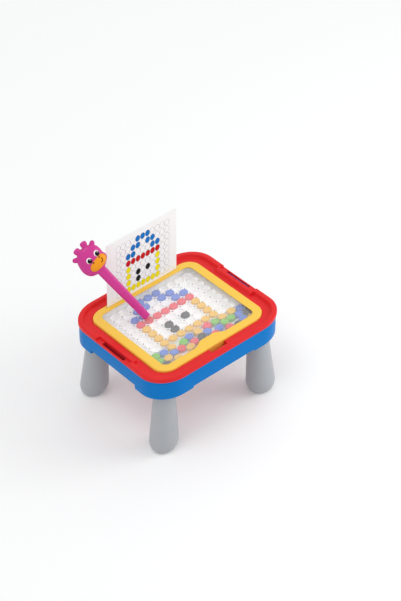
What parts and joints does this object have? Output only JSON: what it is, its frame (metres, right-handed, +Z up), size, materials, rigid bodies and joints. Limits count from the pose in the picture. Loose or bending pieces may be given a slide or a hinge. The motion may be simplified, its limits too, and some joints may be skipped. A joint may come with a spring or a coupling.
{
  "type": "magnetic drawing board table",
  "caption": "Child's magnetic drawing board in a red and blue table on grey push-in legs, with tablets under a clear window, a magnet pen and a picture card.",
  "frame": {"origin": "on the floor under the middle of the table", "axes": "+Z up, +Y towards the edge that holds the picture card, +X to the right seen from the side with the loose tablets"},
  "size_m": [0.254, 0.254, 0.3108],
  "materials": {
    "red_plastic": "glossy moulded plastic",
    "blue_plastic": "satin moulded plastic",
    "yellow_plastic": "glossy moulded plastic",
    "grey_plastic": "satin moulded plastic",
    "white_plastic": "satin moulded plastic",
    "clear_plastic": "clear",
    "card": "coated card, printed",
    "magenta_plastic": "glossy moulded plastic",
    "orange_plastic": "satin moulded plastic",
    "bead_blue": "satin",
    "bead_red": "satin",
    "bead_yellow": "satin",
    "bead_black": "satin",
    "steel": "zinc plated",
    "magnet": "satin"
  },
  "bodies": {
    "root": {"tray_top": "red_plastic", "tray_base": "blue_plastic", "tray_screw_1": "steel", "tray_screw_2": "steel", "tray_screw_3": "steel", "tray_screw_4": "steel"},
    "leg_front_left": {"leg_front_left": "grey_plastic"},
    "leg_front_right": {"leg_front_right": "grey_plastic"},
    "leg_back_left": {"leg_back_left": "grey_plastic"},
    "leg_back_right": {"leg_back_right": "grey_plastic"},
    "board": {"board_frame": "yellow_plastic", "board_window": "clear_plastic", "bead_tray": "white_plastic", "board_back_frame": "yellow_plastic", "drawing_panel": "white_plastic", "bead_yellow_01": "bead_yellow", "bead_yellow_02": "bead_yellow", "bead_yellow_03": "bead_yellow", "bead_yellow_04": "bead_yellow", "bead_yellow_05": "bead_yellow", "bead_yellow_06": "bead_yellow", "bead_yellow_07": "bead_yellow", "bead_yellow_08": "bead_yellow", "bead_yellow_09": "bead_yellow", "bead_yellow_10": "bead_yellow", "bead_yellow_11": "bead_yellow", "bead_yellow_12": "bead_yellow", "bead_yellow_13": "bead_yellow", "bead_red_01": "bead_red", "bead_red_02": "bead_red", "bead_red_03": "bead_red", "bead_red_04": "bead_red", "bead_red_05": "bead_red", "bead_red_06": "bead_red", "bead_red_07": "bead_red", "bead_blue_01": "bead_blue", "bead_blue_02": "bead_blue", "bead_blue_03": "bead_blue", "bead_blue_04": "bead_blue", "bead_blue_05": "bead_blue", "bead_blue_06": "bead_blue", "bead_blue_07": "bead_blue", "bead_blue_08": "bead_blue", "bead_blue_09": "bead_blue", "bead_blue_10": "bead_blue", "bead_blue_11": "bead_blue", "bead_black_01": "bead_black", "bead_black_02": "bead_black", "bead_black_03": "bead_black"},
    "card": {"reference_card": "card"},
    "pen": {"pen_front": "magenta_plastic", "pen_back": "magenta_plastic", "pen_muzzle": "orange_plastic", "pen_magnet": "magnet"}
  },
  "joints": [
    {"name": "board_lift", "type": "slide", "parent": "root", "child": "board", "axis": [0, 0, 1], "range_m": [0, 0.06]},
    {"name": "card_slide", "type": "slide", "parent": "board", "child": "card", "axis": [0, 0, 1], "range_m": [0, 0.02]},
    {"name": "pen_lift", "type": "slide", "parent": "board", "child": "pen", "axis": [-0.4132, 0.4279, 0.8039], "range_m": [0, 0.04]},
    {"name": "leg_pull_front_left", "type": "slide", "parent": "root", "child": "leg_front_left", "axis": [-0.0506, -0.0506, -0.9974], "range_m": [0, 0.015]},
    {"name": "leg_pull_front_right", "type": "slide", "parent": "root", "child": "leg_front_right", "axis": [0.0506, -0.0506, -0.9974], "range_m": [0, 0.015]},
    {"name": "leg_pull_back_left", "type": "slide", "parent": "root", "child": "leg_back_left", "axis": [-0.0506, 0.0506, -0.9974], "range_m": [0, 0.015]},
    {"name": "leg_pull_back_right", "type": "slide", "parent": "root", "child": "leg_back_right", "axis": [0.0506, 0.0506, -0.9974], "range_m": [0, 0.015]}
  ]
}
